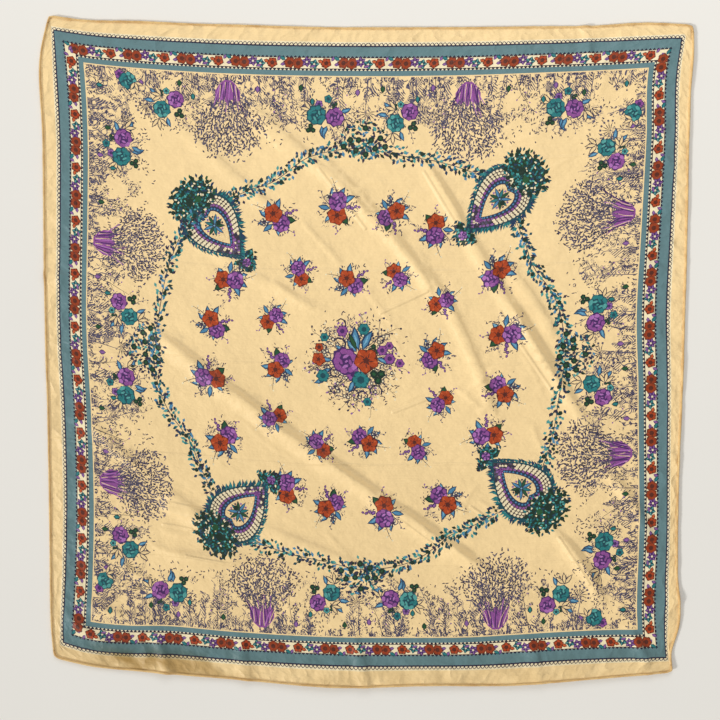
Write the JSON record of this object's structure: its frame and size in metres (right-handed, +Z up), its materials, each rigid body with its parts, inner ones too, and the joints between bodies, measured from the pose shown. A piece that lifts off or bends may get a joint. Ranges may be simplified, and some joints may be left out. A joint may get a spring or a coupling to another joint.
{
  "type": "silk square scarf, laid flat",
  "caption": "Printed silk square scarf laid out flat, its cloth raised in soft diagonal folds, with a narrow hand-rolled hem along every edge.",
  "frame": {"origin": "centre of the scarf's bounding box, on the surface it lies on", "axes": "+Z up out of the printed face, +Y towards the upper edge, +X to the right"},
  "size_m": [0.7846, 0.8062, 0.0072],
  "materials": {
    "printed_silk": "thin cream silk with a soft sheen, printed with teal bands, a flower strip, paisleys, garlands and posies",
    "rolled_silk_hem": "the same silk rolled into a narrow hem and whip-stitched in tan thread"
  },
  "bodies": {
    "root": {"cloth_square": "printed_silk", "rolled_hem_upper": "rolled_silk_hem", "rolled_hem_lower": "rolled_silk_hem", "rolled_hem_left": "rolled_silk_hem", "rolled_hem_right": "rolled_silk_hem"}
  },
  "joints": []
}
